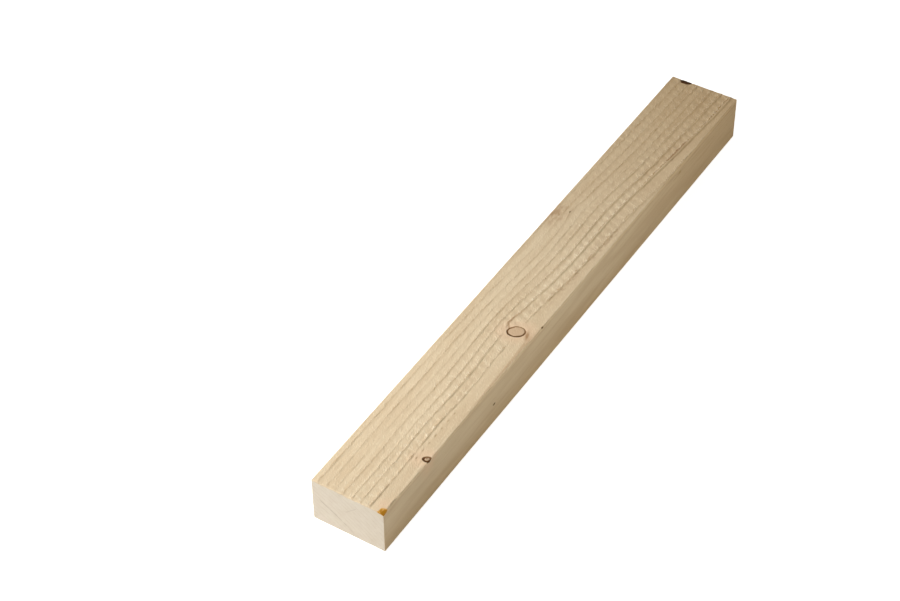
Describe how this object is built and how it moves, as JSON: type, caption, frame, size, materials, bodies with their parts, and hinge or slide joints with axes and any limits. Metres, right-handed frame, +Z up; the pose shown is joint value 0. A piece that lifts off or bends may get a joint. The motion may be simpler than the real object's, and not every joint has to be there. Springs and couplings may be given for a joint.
{
  "type": "timber plank",
  "caption": "Short length of sawn softwood plank with eased edges, dark-ringed knots, raised grain and saw marks across its top face, used as building timber.",
  "frame": {"origin": "centre of the underside, on the floor", "axes": "+X along the grain from the near end to the far end, +Y across the width from the right edge to the left, +Z up through the thickness"},
  "size_m": [0.646, 0.073, 0.048],
  "materials": {
    "softwood": "sawn, bare and unfinished"
  },
  "bodies": {
    "root": {"plank": "softwood"}
  },
  "joints": []
}
